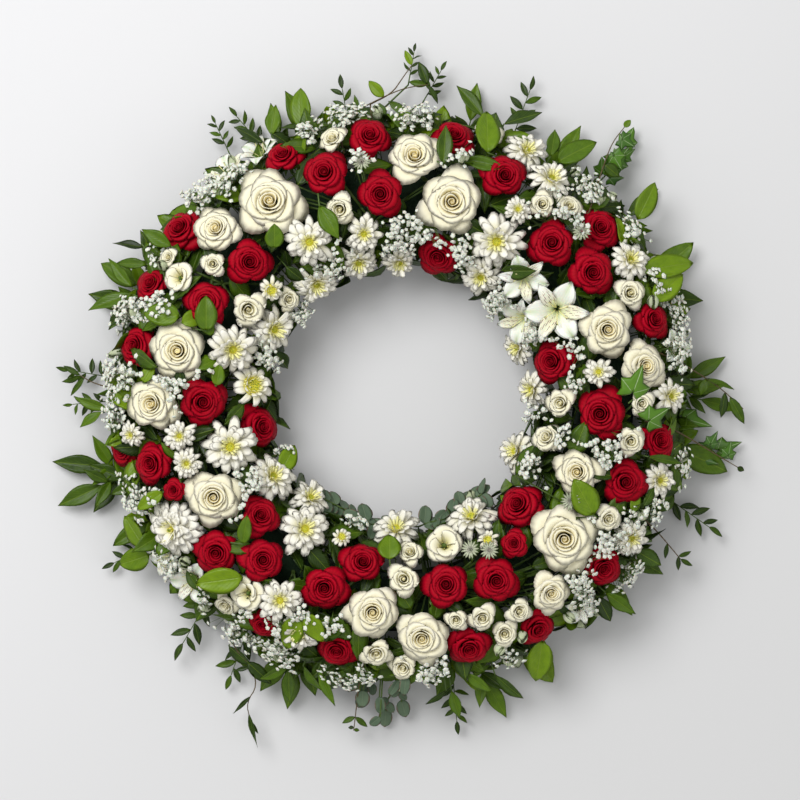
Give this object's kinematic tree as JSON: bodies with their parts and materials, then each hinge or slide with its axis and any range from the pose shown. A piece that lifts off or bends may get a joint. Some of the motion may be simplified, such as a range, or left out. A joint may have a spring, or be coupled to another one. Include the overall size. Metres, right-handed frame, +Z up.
{
  "type": "funeral wreath",
  "caption": "Round funeral wreath of roses, daisy chrysanthemums, gypsophila and mixed greenery on a foam ring with an open centre.",
  "frame": {"origin": "centre of the wreath's outline on the flat underside of the tray", "axes": "+Z up out of the flowers, away from the surface the wreath lies on; +Y towards the top of the picture, +X to its right"},
  "size_m": [0.6992, 0.6898, 0.1401],
  "materials": {
    "tray_plastic": "satin moulded plastic",
    "floral_foam": "open-cell foam, matt",
    "red_rose_petals": "velvety petals, crimson",
    "ivory_rose_petals": "soft petals, ivory with a warm centre",
    "cream_petals": "soft petals, cream",
    "daisy_petals": "matt ray petals round a yellow-green eye",
    "lily_petals": "soft petals with fine dark streaks",
    "gypsophila_florets": "tiny matt florets on thin green stems",
    "green_leaves": "leathery leaves, half glossy",
    "eucalyptus_leaves": "waxy leaves, grey-green, matt"
  },
  "bodies": {
    "root": {"tray": "tray_plastic", "foam_ring": "floral_foam", "red_roses_1": "red_rose_petals", "red_roses_2": "red_rose_petals", "red_roses_3": "red_rose_petals", "red_roses_4": "red_rose_petals", "red_roses_5": "red_rose_petals", "red_roses_6": "red_rose_petals", "red_roses_7": "red_rose_petals", "red_roses_8": "red_rose_petals", "red_roses_9": "red_rose_petals", "red_roses_10": "red_rose_petals", "red_roses_11": "red_rose_petals", "red_roses_12": "red_rose_petals", "red_roses_13": "red_rose_petals", "red_roses_14": "red_rose_petals", "red_roses_15": "red_rose_petals", "white_roses_1": "ivory_rose_petals", "white_roses_2": "ivory_rose_petals", "white_roses_3": "ivory_rose_petals", "white_roses_4": "ivory_rose_petals", "white_roses_5": "ivory_rose_petals", "white_roses_6": "ivory_rose_petals", "white_roses_7": "ivory_rose_petals", "spray_roses_1": "cream_petals", "spray_roses_2": "cream_petals", "spray_roses_3": "cream_petals", "spray_roses_4": "cream_petals", "spray_roses_5": "cream_petals", "spray_roses_6": "cream_petals", "spray_roses_7": "cream_petals", "daisies_1": "daisy_petals", "daisies_2": "daisy_petals", "daisies_3": "daisy_petals", "daisies_4": "daisy_petals", "daisies_5": "daisy_petals", "daisies_6": "daisy_petals", "daisies_7": "daisy_petals", "daisies_8": "daisy_petals", "daisies_9": "daisy_petals", "daisies_10": "daisy_petals", "daisies_11": "daisy_petals", "daisies_12": "daisy_petals", "daisies_13": "daisy_petals", "alstroemeria_1": "lily_petals", "alstroemeria_2": "lily_petals", "alstroemeria_3": "lily_petals", "gypsophila_1": "gypsophila_florets", "gypsophila_2": "gypsophila_florets", "gypsophila_3": "gypsophila_florets", "gypsophila_4": "gypsophila_florets", "foliage_1": "green_leaves", "foliage_2": "green_leaves", "foliage_3": "green_leaves", "foliage_4": "green_leaves", "foliage_5": "green_leaves", "foliage_6": "green_leaves", "foliage_7": "green_leaves", "foliage_8": "green_leaves", "inner_eucalyptus": "eucalyptus_leaves"}
  },
  "joints": []
}
